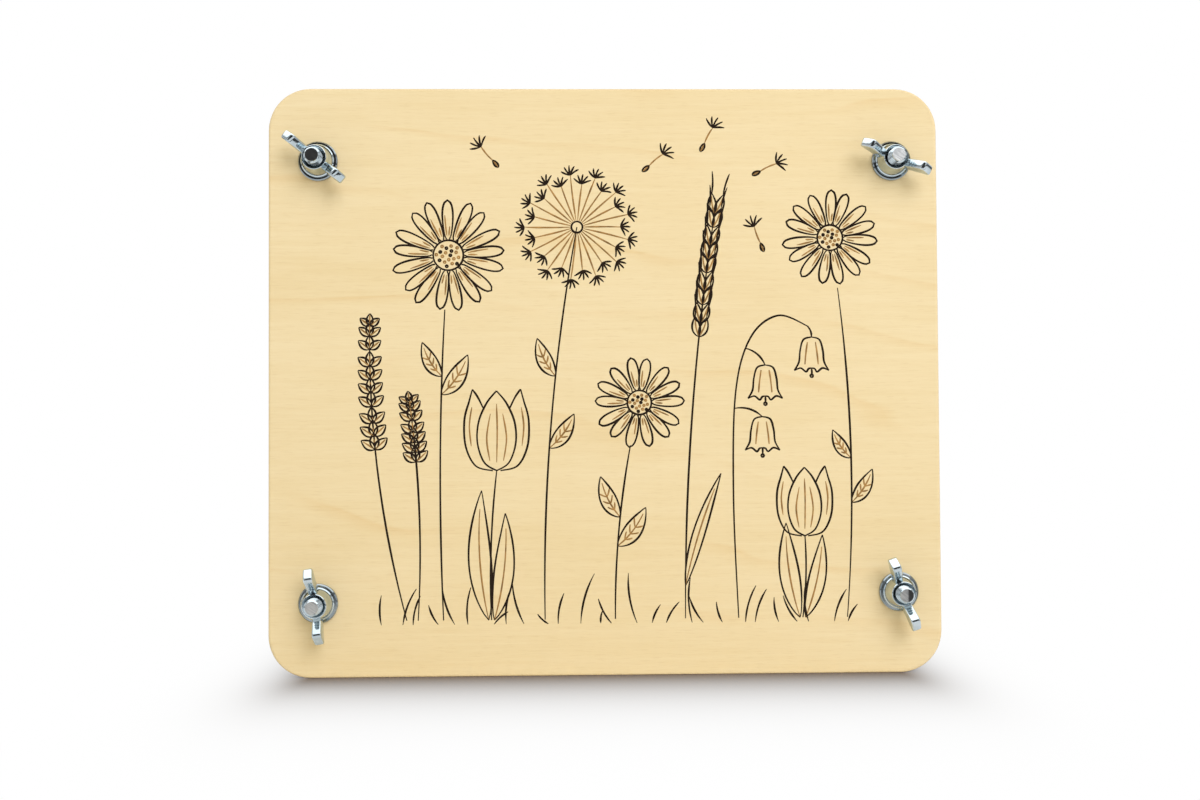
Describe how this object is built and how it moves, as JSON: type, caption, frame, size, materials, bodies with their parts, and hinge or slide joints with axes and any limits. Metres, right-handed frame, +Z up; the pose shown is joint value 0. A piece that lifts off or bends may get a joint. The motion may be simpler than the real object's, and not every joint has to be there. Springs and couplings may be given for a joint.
{
  "type": "flower press",
  "caption": "Wooden flower press: plywood boards drawn together by bolts and wing nuts over a stack of corrugated cards and blotting-paper sheets, with line art on the front",
  "frame": {"origin": "bottom centre of the overall box, in the plane of the boards' lower edges", "axes": "+X to the right as the front is faced, +Y from the front to the back, +Z up"},
  "size_m": [0.24, 0.0536, 0.21],
  "materials": {
    "plywood": "satin",
    "zinc_plated_steel": "polished",
    "corrugated_card": "matte",
    "blotting_paper": "matte"
  },
  "bodies": {
    "back": {"back_board": "plywood", "bolt_upper_left": "zinc_plated_steel", "bolt_upper_right": "zinc_plated_steel", "bolt_lower_left": "zinc_plated_steel", "bolt_lower_right": "zinc_plated_steel"},
    "front": {"front_board": "plywood", "washer_upper_left": "zinc_plated_steel", "washer_upper_right": "zinc_plated_steel", "washer_lower_left": "zinc_plated_steel", "washer_lower_right": "zinc_plated_steel"},
    "nut_upper_left": {"wing_nut_upper_left": "zinc_plated_steel"},
    "nut_upper_right": {"wing_nut_upper_right": "zinc_plated_steel"},
    "nut_lower_left": {"wing_nut_lower_left": "zinc_plated_steel"},
    "nut_lower_right": {"wing_nut_lower_right": "zinc_plated_steel"},
    "card_1": {"card_1": "corrugated_card"},
    "blotter_1": {"blotter_1": "blotting_paper"},
    "blotter_2": {"blotter_2": "blotting_paper"},
    "card_2": {"card_2": "corrugated_card"},
    "blotter_3": {"blotter_3": "blotting_paper"},
    "blotter_4": {"blotter_4": "blotting_paper"},
    "card_3": {"card_3": "corrugated_card"},
    "blotter_5": {"blotter_5": "blotting_paper"},
    "blotter_6": {"blotter_6": "blotting_paper"},
    "card_4": {"card_4": "corrugated_card"},
    "blotter_7": {"blotter_7": "blotting_paper"},
    "blotter_8": {"blotter_8": "blotting_paper"},
    "card_5": {"card_5": "corrugated_card"}
  },
  "joints": [
    {"name": "press_travel", "type": "slide", "parent": "back", "child": "front", "axis": [0, -1, 0], "range_m": [0, 0.008]},
    {"name": "nut_turn_upper_left", "type": "hinge", "parent": "front", "child": "nut_upper_left", "pos_m": [-0.1022, -0.01665, 0.1836], "axis": [0, -1, 0], "range_deg": [0, 2880]},
    {"name": "nut_turn_upper_right", "type": "hinge", "parent": "front", "child": "nut_upper_right", "pos_m": [0.1033, -0.01665, 0.1836], "axis": [0, -1, 0], "range_deg": [0, 2880]},
    {"name": "nut_turn_lower_left", "type": "hinge", "parent": "front", "child": "nut_lower_left", "pos_m": [-0.1022, -0.01665, 0.0264], "axis": [0, -1, 0], "range_deg": [0, 2880]},
    {"name": "nut_turn_lower_right", "type": "hinge", "parent": "front", "child": "nut_lower_right", "pos_m": [0.1044, -0.01665, 0.029], "axis": [0, -1, 0], "range_deg": [0, 2880]},
    {"name": "card_1_slide", "type": "slide", "parent": "back", "child": "card_1", "axis": [0, -1, 0], "range_m": [0, 0.0002]},
    {"name": "blotter_1_slide", "type": "slide", "parent": "back", "child": "blotter_1", "axis": [0, -1, 0], "range_m": [0, 0.0004]},
    {"name": "blotter_2_slide", "type": "slide", "parent": "back", "child": "blotter_2", "axis": [0, -1, 0], "range_m": [0, 0.0019]},
    {"name": "card_2_slide", "type": "slide", "parent": "back", "child": "card_2", "axis": [0, -1, 0], "range_m": [0, 0.0021]},
    {"name": "blotter_3_slide", "type": "slide", "parent": "back", "child": "blotter_3", "axis": [0, -1, 0], "range_m": [0, 0.0023]},
    {"name": "blotter_4_slide", "type": "slide", "parent": "back", "child": "blotter_4", "axis": [0, -1, 0], "range_m": [0, 0.0038]},
    {"name": "card_3_slide", "type": "slide", "parent": "back", "child": "card_3", "axis": [0, -1, 0], "range_m": [0, 0.004]},
    {"name": "blotter_5_slide", "type": "slide", "parent": "back", "child": "blotter_5", "axis": [0, -1, 0], "range_m": [0, 0.0042]},
    {"name": "blotter_6_slide", "type": "slide", "parent": "back", "child": "blotter_6", "axis": [0, -1, 0], "range_m": [0, 0.0057]},
    {"name": "card_4_slide", "type": "slide", "parent": "back", "child": "card_4", "axis": [0, -1, 0], "range_m": [0, 0.0059]},
    {"name": "blotter_7_slide", "type": "slide", "parent": "back", "child": "blotter_7", "axis": [0, -1, 0], "range_m": [0, 0.0061]},
    {"name": "blotter_8_slide", "type": "slide", "parent": "back", "child": "blotter_8", "axis": [0, -1, 0], "range_m": [0, 0.0076]},
    {"name": "card_5_slide", "type": "slide", "parent": "back", "child": "card_5", "axis": [0, -1, 0], "range_m": [0, 0.0078]}
  ],
  "couplings": [
    {"joint": "nut_turn_upper_left", "follows": "press_travel", "rad_per_m": 6283.2},
    {"joint": "nut_turn_upper_right", "follows": "press_travel", "rad_per_m": 6283.2},
    {"joint": "nut_turn_lower_left", "follows": "press_travel", "rad_per_m": 6283.2},
    {"joint": "nut_turn_lower_right", "follows": "press_travel", "rad_per_m": 6283.2},
    {"joint": "card_1_slide", "follows": "press_travel", "ratio": 0.025},
    {"joint": "blotter_1_slide", "follows": "press_travel", "ratio": 0.05},
    {"joint": "blotter_2_slide", "follows": "press_travel", "ratio": 0.2375},
    {"joint": "card_2_slide", "follows": "press_travel", "ratio": 0.2625},
    {"joint": "blotter_3_slide", "follows": "press_travel", "ratio": 0.2875},
    {"joint": "blotter_4_slide", "follows": "press_travel", "ratio": 0.475},
    {"joint": "card_3_slide", "follows": "press_travel", "ratio": 0.5},
    {"joint": "blotter_5_slide", "follows": "press_travel", "ratio": 0.525},
    {"joint": "blotter_6_slide", "follows": "press_travel", "ratio": 0.7125},
    {"joint": "card_4_slide", "follows": "press_travel", "ratio": 0.7375},
    {"joint": "blotter_7_slide", "follows": "press_travel", "ratio": 0.7625},
    {"joint": "blotter_8_slide", "follows": "press_travel", "ratio": 0.95},
    {"joint": "card_5_slide", "follows": "press_travel", "ratio": 0.975}
  ]
}
